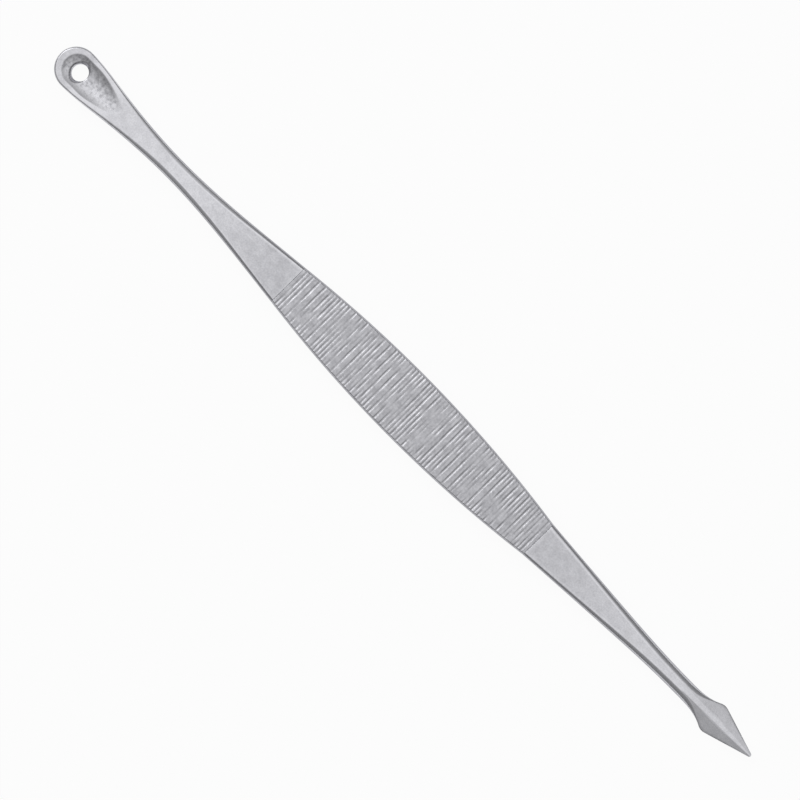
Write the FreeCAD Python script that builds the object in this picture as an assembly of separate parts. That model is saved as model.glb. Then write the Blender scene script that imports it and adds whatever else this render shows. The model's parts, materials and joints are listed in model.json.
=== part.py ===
"""Double-ended blackhead extractor in satin stainless steel.

A flat lens-shaped grip with cross ribs carries two working ends: a dished spoon with an eyelet, and a ridged
lance. Each end is a forged shank with a flat tang, which is brazed into a blind socket in the grip.

X runs along the tool, from the spoon at -X to the lance at +X. Z is up, and the tool lies flat on Z = 0. The
origin is on that plane, at the middle of the tool's length and width. Sizes are in millimetres.
"""

import FreeCAD, Part
import math
import os
from collections import namedtuple

# Grip, in plan one circular arc along each side
GRIP_WIDTH = 8.7  # at its widest place
GRIP_THICKNESS = 2.5  # over the rib lands
GRIP_SIDE_RADIUS = 177.0
GRIP_TO_SPOON = 21.3  # from the widest place to the seam with the spoon end
GRIP_TO_LANCE = 23.9  # from the widest place to the seam with the lance end
GRIP_BEVEL = 0.3  # along the four long edges, in plan
GRIP_BEVEL_DROP = 0.2

# Ribs, the lands left between shallow grooves across both faces
RIB_PITCH = 1.0
GROOVE_WIDTH = 0.5  # at the top
GROOVE_FLOOR = 0.06
GROOVE_DEPTH = 0.09

# Tangs of the two ends, and the sockets that they are brazed into
TANG_LENGTH = 8.0
TANG_WIDTH = 3.0
TANG_THICKNESS = 1.0
TANG_LEAD = 0.25  # chamfer round the tip of the tang
BRAZE_GAP = 0.05  # all round the tang
SOCKET_RELIEF = 0.4  # room beyond the tip of the tang

# Spoon end: a shank from the seam to the neck, then a taper that widens to the spoon
SPOON_SHANK_LENGTH = 20.5
SPOON_FLARE = 0.105  # how fast each side widens at the seam
SPOON_NECK_WIDTH = 2.88
SPOON_NECK_THICKNESS = 2.0
SPOON_NECK_BEVEL = 0.55  # along the four long edges, in plan
SPOON_NECK_DROP = 0.36  # of those bevels
SPOON_NECK_CROWN = 0.15  # how far each side bulges
SPOON_TAPER_LENGTH = 10.7  # from the neck to where the taper is steepest
SPOON_TAPER_WIDTH = 4.26
SPOON_TAPER_SLOPE = 0.118  # how fast each side widens there
SPOON_HEAD_LENGTH = 10.0  # from there to the far end
SPOON_WIDTH = 5.7
SPOON_THICKNESS = 1.7
SPOON_RIM_RADIUS = 0.4  # round the cupped face
SPOON_BACK_RADIUS = 0.85  # round the back

# Cup of the spoon, scooped out round the eyelet and running out towards the shank
EYELET_DIAMETER = 2.3
EYELET_TO_END = 3.4  # from the centre of the eyelet to the far end of the spoon
EYELET_CHAMFER = 0.04  # at the deepest place of the cup
CUP_WIDTH = 4.14  # at the rim
CUP_DEPTH = 0.62
CUP_DEEP_LENGTH = 2.3  # from the centre of the eyelet to where the floor starts to rise
CUP_EASE = 1.0  # how far before and after that place the floor curves
CUP_LENGTH = 6.6  # from the centre of the eyelet to where the floor is level with the rim

# Lance end: a shank from the seam to the neck, which spreads into a flat blade with a ridge along each face
LANCE_TAPER_LENGTH = 17.0  # the stretch of the shank with nearly straight sides
LANCE_FLARE = 0.0725  # how fast each side widens at the seam
LANCE_TAPER_WIDTH = 3.12
LANCE_TAPER_SLOPE = 0.0625  # how fast each side widens at the end of that stretch
LANCE_EASE_LENGTH = 9.1  # from there to the neck
LANCE_NECK_WIDTH = 2.5
LANCE_NECK_THICKNESS = 2.3
LANCE_NECK_BEVEL = 0.5  # along the four long edges, in plan
LANCE_NECK_DROP = 0.33  # of those bevels
LANCE_NECK_CROWN = 0.3  # how far each side bulges
FACET_LEAD = 0.1  # strip of the flat, along each of its sides, that turns into a facet of the blade
FACET_SLOPE = 0.32  # how fast the facets fall
FACET_START = 0.7  # from the neck to where the facets start to widen
FACET_RUN = 3.1  # from there to where they reach the edges
BLADE_FLARE_LENGTH = 5.8  # from the neck to the shoulders
BLADE_FLARE_TURN = 27.0  # degrees between the tool's length and the sides, just before the shoulders
SHOULDER_WIDTH = 4.36
SHOULDER_THICKNESS = 1.45
SHOULDER_ROUND = 1.5  # radius of the shoulders, in plan
RIDGE_WIDTH = 0.42
BLADE_LENGTH = 6.7  # from the shoulders to the tip
BLADE_BEVEL = 0.1  # along the edges, in plan
BLADE_EDGE = 0.12  # thickness of the edges
TIP_ROUND = 0.28  # radius of the tip, in plan
TIP_WIDTH = 0.2  # of the flat that ends the tip
TIP_THICKNESS = 0.26
TIP_RIDGE = 0.12
TIP_BEVEL = 0.02

# Places that follow from the lengths
SPOON_END_LENGTH = SPOON_SHANK_LENGTH + SPOON_TAPER_LENGTH + SPOON_HEAD_LENGTH
LANCE_SHANK_LENGTH = LANCE_TAPER_LENGTH + LANCE_EASE_LENGTH
LANCE_END_LENGTH = LANCE_SHANK_LENGTH + BLADE_FLARE_LENGTH + BLADE_LENGTH
TOOL_LENGTH = SPOON_END_LENGTH + GRIP_TO_SPOON + GRIP_TO_LANCE + LANCE_END_LENGTH
SPOON_SEAM = SPOON_END_LENGTH - TOOL_LENGTH / 2
LANCE_SEAM = TOOL_LENGTH / 2 - LANCE_END_LENGTH
GRIP_MIDDLE = SPOON_SEAM + GRIP_TO_SPOON
MID_HEIGHT = GRIP_THICKNESS / 2
EYELET_X = EYELET_TO_END - TOOL_LENGTH / 2
RIM_HEIGHT = MID_HEIGHT + SPOON_THICKNESS / 2

# Sections of a loft along each stretch
SHANK_STEPS = 9
TAPER_STEPS = 5
HEAD_STEPS = 5
EASE_STEPS = 5
FLARE_STEPS = 10
SHOULDER_STEPS = 3
TIP_STEPS = 3
TIP_LAST_TURN = 60.0  # degrees round the tip to its last section

# How far the corners of a section bulge: from not at all to a quarter of an ellipse
STRAIGHT = 0.0
SOFT = 0.35
FULL_ROUND = 1.0
LEAST_CROWN = 0.0001  # a side with less is straight
NO_FACET = (0.0, 0.0)

UP = FreeCAD.Vector(0, 0, 1)
ALONG = FreeCAD.Vector(1, 0, 0)
ACROSS = FreeCAD.Vector(0, 1, 0)

Section = namedtuple("Section", "width thickness top_flat side_top side_bottom bottom_flat bulge crown facet")


def point(x, y, z):
    return FreeCAD.Vector(x, y, z)


def line(start, end):
    return Part.LineSegment(start, end).toShape()


def arc(start, middle, end):
    return Part.Arc(start, middle, end).toShape()


def polygon_face(corners):
    return Part.Face(Part.makePolygon(corners + corners[:1]))


def hermite(share, start, end, start_rate=0.0, end_rate=0.0):
    """A cubic from start to end, with its rates of change over the whole span at both ends."""
    square = share * share
    cube = square * share
    value = (2 * cube - 3 * square + 1) * start + (3 * square - 2 * cube) * end
    return value + (cube - 2 * square + share) * start_rate + (cube - square) * end_rate


def grip_half_width(x):
    reach = x - GRIP_MIDDLE
    return GRIP_WIDTH / 2 - GRIP_SIDE_RADIUS + math.sqrt(GRIP_SIDE_RADIUS**2 - reach**2)


def bar(width, thickness, top_corner, bottom_corner, bulge, crown, facet=NO_FACET):
    """The section of a bar with crowned sides, whose long edges are taken off by corners (width, drop).

    A facet (width, drop) may lie between each corner and the flat beside it.
    """
    half = width / 2 - crown - facet[0]
    return Section(
        width,
        thickness,
        2 * (half - top_corner[0]),
        thickness / 2 - facet[1] - top_corner[1],
        bottom_corner[1] + facet[1] - thickness / 2,
        2 * (half - bottom_corner[0]),
        bulge,
        crown,
        facet,
    )


def ridged_bar(width, thickness, ridge, edge, bulge, crown, facet):
    """The section of a bar with a ridge between two facets on each face, and edges of a given thickness."""
    corner_width = width / 2 - crown - ridge / 2 - facet[0]
    both = (corner_width, (thickness - edge) / 2 - facet[1])
    return bar(width, thickness, both, both, bulge, crown, facet)


def corner(x, start, end, bulge):
    """One edge of a section, between two places (y, z)."""
    first = point(x, start[0], MID_HEIGHT + start[1])
    last = point(x, end[0], MID_HEIGHT + end[1])
    if bulge == STRAIGHT:
        return line(first, last)
    swell = bulge * (math.sqrt(0.5) - 0.5)
    across = abs(end[0] - start[0]) * math.copysign(swell, start[0] + end[0])
    rise = abs(end[1] - start[1]) * math.copysign(swell, start[1] + end[1])
    middle = (first + last) * 0.5 + point(0, across, rise)
    return arc(first, middle, last)


def half_section(section):
    """The places (y, z) where the stretches of a section meet, on the +Y side from top to bottom."""
    top = section.thickness / 2
    side = section.width / 2 - section.crown
    facet_width, facet_drop = section.facet
    places = [
        (section.top_flat / 2 + facet_width, top - facet_drop),
        (side, section.side_top),
        (side, section.side_bottom),
        (section.bottom_flat / 2 + facet_width, facet_drop - top),
    ]
    if section.facet != NO_FACET:
        places.insert(0, (section.top_flat / 2, top))
        places.append((section.bottom_flat / 2, -top))
    return places


def crowned_side(x, start, end, crown):
    """The side of a section, from one place (y, z) to another, through its outermost place."""
    if crown < LEAST_CROWN:
        return corner(x, start, end, STRAIGHT)
    first = point(x, start[0], MID_HEIGHT + start[1])
    last = point(x, end[0], MID_HEIGHT + end[1])
    middle = (first + last) * 0.5 + point(0, math.copysign(crown, start[0]), 0)
    return arc(first, middle, last)


def half_edges(x, places, section):
    """Corner, side and corner of one half of a section, between its facets where it has some."""
    first = len(places) // 2 - 2
    edges = [
        corner(x, places[first], places[first + 1], section.bulge),
        crowned_side(x, places[first + 1], places[first + 2], section.crown),
        corner(x, places[first + 2], places[first + 3], section.bulge),
    ]
    if section.facet != NO_FACET:
        edges.insert(0, corner(x, places[0], places[1], STRAIGHT))
        edges.append(corner(x, places[-2], places[-1], STRAIGHT))
    return edges


def section_wire(x, section):
    """A closed outline square to X: a flat top and bottom, with two corners and a side at each hand."""
    near = half_section(section)
    far = [(-y, z) for y, z in reversed(near)]
    edges = half_edges(x, near, section)
    edges.append(corner(x, near[-1], far[0], STRAIGHT))
    edges += half_edges(x, far, section)
    edges.append(corner(x, far[-1], near[0], STRAIGHT))
    return Part.Wire(edges)


def loft(stations):
    """A solid with straight lines between each section and the next."""
    wires = [section_wire(x, section) for x, section in stations]
    return Part.makeLoft(wires, True, True)


def tang_bar(seam, direction, growth=0.0, extra_length=0.0):
    """A flat bar with round sides, from a seam into the grip. The socket is the same bar, grown a little."""
    half_thickness = TANG_THICKNESS / 2 + growth
    half_flat = (TANG_WIDTH - TANG_THICKNESS) / 2
    left_top = point(seam, -half_flat, MID_HEIGHT + half_thickness)
    right_top = point(seam, half_flat, MID_HEIGHT + half_thickness)
    left_bottom = point(seam, -half_flat, MID_HEIGHT - half_thickness)
    right_bottom = point(seam, half_flat, MID_HEIGHT - half_thickness)
    outline = Part.Wire(
        [
            line(left_top, right_top),
            arc(right_top, point(seam, half_flat + half_thickness, MID_HEIGHT), right_bottom),
            line(right_bottom, left_bottom),
            arc(left_bottom, point(seam, -half_flat - half_thickness, MID_HEIGHT), left_top),
        ]
    )
    return Part.Face(outline).extrude(ALONG * (direction * (TANG_LENGTH + extra_length)))


def tang(seam, direction):
    """The tang of a working end, with a chamfer that leads it into its socket."""
    blank = tang_bar(seam, direction)
    tip = seam + direction * TANG_LENGTH
    tip_edges = [edge for edge in blank.Edges if abs(edge.BoundBox.Center.x - tip) < TANG_LEAD / 2]
    return blank.makeChamfer(TANG_LEAD, tip_edges)


def groove_cutter(x, face_height, outward):
    """A wedge-sided bar across the grip, as deep in the face as a groove and as far out of it."""
    half_floor = GROOVE_FLOOR / 2
    half_mouth = GROOVE_WIDTH - half_floor
    floor_height = face_height - outward * GROOVE_DEPTH
    mouth_height = face_height + outward * GROOVE_DEPTH
    outline = [
        point(x - half_floor, -GRIP_WIDTH, floor_height),
        point(x + half_floor, -GRIP_WIDTH, floor_height),
        point(x + half_mouth, -GRIP_WIDTH, mouth_height),
        point(x - half_mouth, -GRIP_WIDTH, mouth_height),
    ]
    return polygon_face(outline).extrude(ACROSS * (2 * GRIP_WIDTH))


def groove_cutters():
    """As many grooves as the grip has room for, at an even pitch, in both faces."""
    length = LANCE_SEAM - SPOON_SEAM
    count = int(length / RIB_PITCH)
    margin = (length - count * RIB_PITCH) / 2
    cutters = []
    for index in range(count):
        x = SPOON_SEAM + margin + (index + 0.5) * RIB_PITCH
        cutters.append(groove_cutter(x, GRIP_THICKNESS, 1))
        cutters.append(groove_cutter(x, 0, -1))
    return cutters


def ribbed_grip():
    spoon_side = grip_half_width(SPOON_SEAM)
    lance_side = grip_half_width(LANCE_SEAM)
    widest = GRIP_WIDTH / 2
    corners = [
        point(SPOON_SEAM, spoon_side, 0),
        point(LANCE_SEAM, lance_side, 0),
        point(LANCE_SEAM, -lance_side, 0),
        point(SPOON_SEAM, -spoon_side, 0),
    ]
    outline = Part.Wire(
        [
            arc(corners[0], point(GRIP_MIDDLE, widest, 0), corners[1]),
            line(corners[1], corners[2]),
            arc(corners[2], point(GRIP_MIDDLE, -widest, 0), corners[3]),
            line(corners[3], corners[0]),
        ]
    )
    blank = Part.Face(outline).extrude(UP * GRIP_THICKNESS)
    long_edges = [edge for edge in blank.Edges if isinstance(edge.Curve, Part.Circle)]
    blank = blank.makeChamfer(GRIP_BEVEL_DROP, GRIP_BEVEL, long_edges)
    sockets = [
        tang_bar(SPOON_SEAM, 1, BRAZE_GAP, SOCKET_RELIEF),
        tang_bar(LANCE_SEAM, -1, BRAZE_GAP, SOCKET_RELIEF),
    ]
    return blank.cut(sockets).cut(groove_cutters())


def shank_bevel(share, neck_bevel, neck_drop):
    """The bevel (width, drop) at a share of the way from a seam, where it is the grip's, to a neck."""
    return hermite(share, GRIP_BEVEL, neck_bevel), hermite(share, GRIP_BEVEL_DROP, neck_drop)


def spoon_shank_stations():
    """Sections from the bevelled bar at the seam to the softer neck."""
    seam_width = 2 * grip_half_width(SPOON_SEAM)
    stations = []
    for step in range(SHANK_STEPS):
        share = step / SHANK_STEPS
        width = hermite(share, seam_width, SPOON_NECK_WIDTH, -2 * SPOON_FLARE * SPOON_SHANK_LENGTH)
        thickness = hermite(share, GRIP_THICKNESS, SPOON_NECK_THICKNESS)
        bevel = shank_bevel(share, SPOON_NECK_BEVEL, SPOON_NECK_DROP)
        bulge = hermite(share, STRAIGHT, SOFT)
        crown = hermite(share, 0, SPOON_NECK_CROWN)
        stations.append((share * SPOON_SHANK_LENGTH, bar(width, thickness, bevel, bevel, bulge, crown)))
    return stations


def spoon_head_widths(head_span):
    """Places and widths from the neck, through the steepest place of the taper, to the widest place."""
    taper_place = SPOON_SHANK_LENGTH + SPOON_TAPER_LENGTH
    rate = 2 * SPOON_TAPER_SLOPE
    widths = []
    for step in range(TAPER_STEPS):
        share = step / TAPER_STEPS
        width = hermite(share, SPOON_NECK_WIDTH, SPOON_TAPER_WIDTH, 0, rate * SPOON_TAPER_LENGTH)
        widths.append((SPOON_SHANK_LENGTH + share * SPOON_TAPER_LENGTH, width))
    for step in range(HEAD_STEPS + 1):
        share = step / HEAD_STEPS
        width = hermite(share, SPOON_TAPER_WIDTH, SPOON_WIDTH, rate * head_span, 0)
        widths.append((taper_place + share * head_span, width))
    return widths


def rounded_bevel(share, radius):
    """The corner (width, drop) at a share of the way from the spoon's neck to its rounded head."""
    return hermite(share, SPOON_NECK_BEVEL, radius), hermite(share, SPOON_NECK_DROP, radius)


def spoon_head_stations():
    """Sections from the neck to the widest place of the spoon, whose back becomes rounder than its rim."""
    head_span = SPOON_HEAD_LENGTH - SPOON_WIDTH / 2
    stations = []
    for place, width in spoon_head_widths(head_span):
        share = (place - SPOON_SHANK_LENGTH) / (SPOON_TAPER_LENGTH + head_span)
        thickness = hermite(share, SPOON_NECK_THICKNESS, SPOON_THICKNESS)
        rim = rounded_bevel(share, SPOON_RIM_RADIUS)
        back = rounded_bevel(share, SPOON_BACK_RADIUS)
        bulge = hermite(share, SOFT, FULL_ROUND)
        crown = hermite(share, SPOON_NECK_CROWN, 0)
        stations.append((place, bar(width, thickness, rim, back, bulge, crown)))
    return stations


def spoon_round_end(x, section):
    """The half disc beyond the widest place: half of the section there, turned about an upright axis."""
    top = section.thickness / 2
    near = half_section(section)
    edges = [corner(x, (0, top), near[0], STRAIGHT)]
    edges += half_edges(x, near, section)
    edges.append(corner(x, near[-1], (0, -top), STRAIGHT))
    edges.append(corner(x, (0, -top), (0, top), STRAIGHT))
    return Part.Face(Part.Wire(edges)).revolve(point(x, 0, 0), UP, 180)


def cup_cutter():
    """A scoop turned about an axis above the spoon: a ball over the eyelet, a cylinder and a rising cone."""
    radius = ((CUP_WIDTH / 2) ** 2 + CUP_DEPTH**2) / (2 * CUP_DEPTH)
    floor_height = RIM_HEIGHT - CUP_DEPTH
    axis_height = floor_height + radius
    slant = math.sqrt(0.5) * radius
    run_out = CUP_LENGTH - CUP_DEEP_LENGTH
    turn = math.atan2(CUP_DEPTH, run_out)
    ease_radius = CUP_EASE / math.tan(turn / 2)
    cone_start = EYELET_X + CUP_DEEP_LENGTH
    pole = point(EYELET_X - radius, 0, axis_height)
    lowest = point(EYELET_X, 0, floor_height)
    ease_start = point(cone_start - CUP_EASE, 0, floor_height)
    ease_middle = ease_start + point(math.sin(turn / 2), 0, 1 - math.cos(turn / 2)) * ease_radius
    ease_end = point(cone_start, 0, floor_height) + point(math.cos(turn), 0, math.sin(turn)) * CUP_EASE
    high_end = point(cone_start + 2 * run_out, 0, RIM_HEIGHT + CUP_DEPTH)
    axis_end = point(high_end.x, 0, axis_height)
    profile = Part.Wire(
        [
            arc(pole, point(EYELET_X - slant, 0, axis_height - slant), lowest),
            line(lowest, ease_start),
            arc(ease_start, ease_middle, ease_end),
            line(ease_end, high_end),
            line(high_end, axis_end),
            line(axis_end, pole),
        ]
    )
    return Part.Face(profile).revolve(pole, ALONG, 360)


def eyelet_cutter():
    """The drilled eyelet, with a countersink that cuts deepest where the cup's wall rises from the eyelet."""
    radius = EYELET_DIAMETER / 2
    rise = CUP_DEPTH + EYELET_CHAMFER
    drill = Part.makeCylinder(radius, 2 * GRIP_THICKNESS, point(EYELET_X, 0, -GRIP_THICKNESS), UP)
    base = point(EYELET_X, 0, RIM_HEIGHT - rise)
    countersink = Part.makeCone(radius, radius + rise, rise, base, UP)
    return drill.fuse(countersink)


def spoon_end():
    sections = spoon_shank_stations() + spoon_head_stations()
    stations = [(SPOON_SEAM - place, section) for place, section in sections]
    head_x, head_section = stations[-1]
    body = loft(stations).fuse([spoon_round_end(head_x, head_section), tang(SPOON_SEAM, 1)])
    return body.cut(cup_cutter()).cut(eyelet_cutter())


def lance_shank_widths():
    """Places and widths along the shank: a long taper, then an easing into the neck."""
    seam_width = 2 * grip_half_width(LANCE_SEAM)
    seam_rate = -2 * LANCE_FLARE * LANCE_TAPER_LENGTH
    taper_rate = -2 * LANCE_TAPER_SLOPE
    widths = []
    for step in range(SHANK_STEPS):
        share = step / SHANK_STEPS
        width = hermite(share, seam_width, LANCE_TAPER_WIDTH, seam_rate, taper_rate * LANCE_TAPER_LENGTH)
        widths.append((share * LANCE_TAPER_LENGTH, width))
    for step in range(EASE_STEPS):
        share = step / EASE_STEPS
        width = hermite(share, LANCE_TAPER_WIDTH, LANCE_NECK_WIDTH, taper_rate * LANCE_EASE_LENGTH)
        widths.append((LANCE_TAPER_LENGTH + share * LANCE_EASE_LENGTH, width))
    return widths


def lance_shank_stations():
    """Sections from the bevelled bar at the seam to the neck, which is nearly round."""
    stations = []
    for place, width in lance_shank_widths():
        share = place / LANCE_SHANK_LENGTH
        thickness = hermite(share, GRIP_THICKNESS, LANCE_NECK_THICKNESS)
        bevel = shank_bevel(share, LANCE_NECK_BEVEL, LANCE_NECK_DROP)
        bulge = hermite(share, STRAIGHT, SOFT)
        crown = hermite(share, 0, LANCE_NECK_CROWN)
        section = bar(width, thickness, bevel, bevel, bulge, crown, (FACET_LEAD, 0.0))
        stations.append((place, section))
    return stations


def flare_width(place):
    """The width from the neck to the shoulders: a hollow curve, then the round of the shoulders."""
    turn = math.radians(BLADE_FLARE_TURN)
    flare_length = BLADE_FLARE_LENGTH - SHOULDER_ROUND * math.sin(turn)
    if place < flare_length:
        end_width = SHOULDER_WIDTH - 2 * SHOULDER_ROUND * (1 - math.cos(turn))
        end_rate = 2 * math.tan(turn) * flare_length
        return hermite(place / flare_length, LANCE_NECK_WIDTH, end_width, 0, end_rate)
    to_shoulder = BLADE_FLARE_LENGTH - place
    return SHOULDER_WIDTH - 2 * (SHOULDER_ROUND - math.sqrt(SHOULDER_ROUND**2 - to_shoulder**2))


def root_facet(place, room):
    """The facet (width, drop) at a place beyond the neck, with so much room between ridge and edge."""
    tilt = hermite(min(1.0, place / FACET_START), 0, FACET_SLOPE)
    share = min(1.0, max(0.0, (place - FACET_START) / FACET_RUN))
    width = hermite(share, FACET_LEAD, room)
    return width, tilt * width


def blade_root_stations():
    """Sections from the neck to the shoulders, where facets spread over the bevels of the neck."""
    fall = BLADE_FLARE_LENGTH * (TIP_THICKNESS - SHOULDER_THICKNESS) / BLADE_LENGTH
    neck_ridge = LANCE_NECK_WIDTH - 2 * (LANCE_NECK_BEVEL + LANCE_NECK_CROWN + FACET_LEAD)
    neck_side = LANCE_NECK_THICKNESS - 2 * LANCE_NECK_DROP
    stations = []
    for step in range(FLARE_STEPS + 1):
        share = step / FLARE_STEPS
        place = share * BLADE_FLARE_LENGTH
        width = flare_width(place)
        thickness = hermite(share, LANCE_NECK_THICKNESS, SHOULDER_THICKNESS, 0, fall)
        ridge = hermite(share, neck_ridge, RIDGE_WIDTH)
        edge = hermite(share, neck_side, BLADE_EDGE)
        bulge = hermite(share, SOFT, STRAIGHT)
        crown = hermite(share, LANCE_NECK_CROWN, 0)
        facet = root_facet(place, width / 2 - crown - ridge / 2 - BLADE_BEVEL)
        section = ridged_bar(width, thickness, ridge, edge, bulge, crown, facet)
        stations.append((LANCE_SHANK_LENGTH + place, section))
    return stations


def blade_outline():
    """Places from the shoulders, and widths there. The shoulders and the tip are arcs joined by tangents."""
    shoulder_y = SHOULDER_WIDTH / 2 - SHOULDER_ROUND
    tip_place = BLADE_LENGTH - TIP_ROUND
    turn = math.atan2(shoulder_y, tip_place)
    turn += math.asin((SHOULDER_ROUND - TIP_ROUND) / math.hypot(shoulder_y, tip_place))
    last_turn = math.radians(TIP_LAST_TURN)
    outline = []
    for step in range(1, SHOULDER_STEPS + 1):
        angle = turn * step / SHOULDER_STEPS
        half_width = shoulder_y + SHOULDER_ROUND * math.cos(angle)
        outline.append((SHOULDER_ROUND * math.sin(angle), 2 * half_width))
    for step in range(TIP_STEPS + 1):
        angle = turn + (last_turn - turn) * step / TIP_STEPS
        outline.append((tip_place + TIP_ROUND * math.sin(angle), 2 * TIP_ROUND * math.cos(angle)))
    return outline + [(BLADE_LENGTH, TIP_WIDTH)]


def blade_stations():
    """Sections from the shoulders to the tip, thinner and with a narrower ridge towards it."""
    stations = []
    for place, width in blade_outline():
        share = place / BLADE_LENGTH
        thickness = SHOULDER_THICKNESS + share * (TIP_THICKNESS - SHOULDER_THICKNESS)
        ridge = RIDGE_WIDTH + share * (TIP_RIDGE - RIDGE_WIDTH)
        bevel = BLADE_BEVEL + share * (TIP_BEVEL - BLADE_BEVEL)
        facet_width = (width - ridge) / 2 - bevel
        facet = (facet_width, FACET_SLOPE * facet_width)
        section = ridged_bar(width, thickness, ridge, BLADE_EDGE, STRAIGHT, 0, facet)
        stations.append((LANCE_END_LENGTH - BLADE_LENGTH + place, section))
    return stations


def lance_end():
    sections = lance_shank_stations() + blade_root_stations() + blade_stations()
    body = loft([(LANCE_SEAM + place, section) for place, section in sections])
    return body.fuse(tang(LANCE_SEAM, -1))


def main():
    os.makedirs("parts", exist_ok=True)
    nodes = {
        "ribbed_grip": ribbed_grip(),
        "spoon_end": spoon_end(),
        "lance_end": lance_end(),
    }
    for name, shape in nodes.items():
        print(f"{name}: {len(shape.Solids)} solid, {len(shape.Faces)} faces, {shape.Volume:.1f} mm3")
        shape.exportStep(f"parts/{name}.step")


main()
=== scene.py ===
"""Looks of a double-ended blackhead extractor in satin stainless steel, on a white table.

Each of the three CAD nodes is replaced by a finer mesh of the same form: stations along the tool, each with a
section that is followed from the middle of the top, over the side, to the middle of the bottom. Shapes are in
millimetres, in the frame's axes, and become metres when a mesh is made. Each mesh also carries a value that
its material reads, for how burnished the steel is and for painted highlights: from 0, where the steel is
dull, to 1, where it is burnished or a highlight is painted.
"""

import json
import math
from collections import namedtuple

import bmesh
import bpy
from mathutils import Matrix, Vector, noise


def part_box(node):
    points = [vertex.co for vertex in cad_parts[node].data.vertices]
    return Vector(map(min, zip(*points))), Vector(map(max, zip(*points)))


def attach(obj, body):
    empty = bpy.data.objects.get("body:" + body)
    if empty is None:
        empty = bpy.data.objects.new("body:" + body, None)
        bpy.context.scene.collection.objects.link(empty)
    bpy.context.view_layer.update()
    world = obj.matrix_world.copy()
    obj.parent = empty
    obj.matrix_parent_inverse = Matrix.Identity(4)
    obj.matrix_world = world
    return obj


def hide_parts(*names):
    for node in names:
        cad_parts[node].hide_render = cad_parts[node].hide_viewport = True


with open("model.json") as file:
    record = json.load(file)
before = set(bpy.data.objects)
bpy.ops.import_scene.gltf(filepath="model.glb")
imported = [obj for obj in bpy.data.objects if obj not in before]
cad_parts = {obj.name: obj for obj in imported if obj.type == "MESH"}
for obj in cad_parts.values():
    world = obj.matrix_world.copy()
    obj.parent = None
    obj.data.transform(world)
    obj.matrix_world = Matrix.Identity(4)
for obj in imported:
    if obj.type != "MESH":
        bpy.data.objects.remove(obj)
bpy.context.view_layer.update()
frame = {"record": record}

MM = 0.001

Section = namedtuple("Section", "width thickness top_flat side_top side_bottom bottom_flat bulge crown facet")
Station = namedtuple("Station", "origin direction section start walled")
Spot = namedtuple("Spot", "reach height zone share")
Groove = namedtuple("Groove", "offset width floor depth share variation layer")

# Places and sizes that the frame gives
GRIP_LOW, GRIP_HIGH = (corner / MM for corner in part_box("ribbed_grip"))
SPOON_LOW, SPOON_HIGH = (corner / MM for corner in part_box("spoon_end"))
LANCE_LOW, LANCE_HIGH = (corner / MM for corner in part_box("lance_end"))
MOUNTS = {mount["name"]: mount for mount in frame["record"]["mounts"]}
SPOON_SEAM = GRIP_LOW.x
LANCE_SEAM = GRIP_HIGH.x
GRIP_WIDTH = GRIP_HIGH.y - GRIP_LOW.y
GRIP_THICKNESS = GRIP_HIGH.z - GRIP_LOW.z
MID_HEIGHT = (GRIP_HIGH.z + GRIP_LOW.z) / 2
SPOON_SEAM_WIDTH = SPOON_HIGH.y - SPOON_LOW.y
LANCE_SEAM_WIDTH = LANCE_HIGH.y - LANCE_LOW.y
SPOON_LENGTH = SPOON_SEAM - SPOON_LOW.x
LANCE_LENGTH = LANCE_HIGH.x - LANCE_SEAM
TANG_LENGTH = SPOON_HIGH.x - SPOON_SEAM
EYELET_RADIUS = MOUNTS["eyelet"]["dims"]["r_mm"]
EYELET_X = MOUNTS["eyelet"]["pos_m"][0] / MM

# Grip and seams
GRIP_MIDDLE = 0.0  # where the grip is widest
GRIP_BEVEL = (0.13, 0.1)  # width and drop
GRIP_CROWN = 0.17  # how far the sides bulge
SHANK_BEVEL = (0.26, 0.18)  # of both shanks at their seams
SHANK_CROWN = 0.13
SHANK_BULGE = 0.2  # of the bevels
SEAM_BREAK = 0.1  # rounding of the edges at a seam that face the spoon
SEAM_KEEN = 0.02  # rounding of those that face the lance

# Ribs, left between main grooves, with a fine groove along each of them. A groove's offset is in pitches.
# Wear leaves it a share of its depth, which varies from patch to patch by what a layer of noise says.
RIB_PITCH = 1.0
MAIN_GROOVE = Groove(offset=0.0, width=0.42, floor=0.06, depth=0.09, share=0.75, variation=1.1, layer=0.0)
FINE_GROOVE = Groove(offset=0.5, width=0.34, floor=0.05, depth=0.065, share=0.55, variation=1.5, layer=5.0)
PATCH_SIZE = 2.8  # of the patches that are worn alike
STREAK_VARIATION = 0.4  # of the wear along one groove
STREAK_LENGTH = 1.6
STREAK_LAYER = 3.0
WAVER = 0.03  # how far a groove strays from its line
WAVER_LENGTH = 2.0
GROOVE_STRIDE = 9.0  # between the places where neighbouring grooves read the noise
RIB_STEPS = 16  # stations on each pitch
GROOVE_COUNT = int((LANCE_SEAM - SPOON_SEAM) / RIB_PITCH + 1e-6)  # with a little for rounding
FIRST_GROOVE = (SPOON_SEAM + LANCE_SEAM - (GROOVE_COUNT - 1) * RIB_PITCH) / 2

# Tangs and sockets
TANG_WIDTH = 3.0
TANG_THICKNESS = 1.0
TANG_LEAD = 0.25  # taper of a tang's tip
BRAZE_GAP = 0.05  # all round a tang in its socket
SOCKET_RELIEF = 0.4  # depth of a socket beyond its tang

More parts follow.
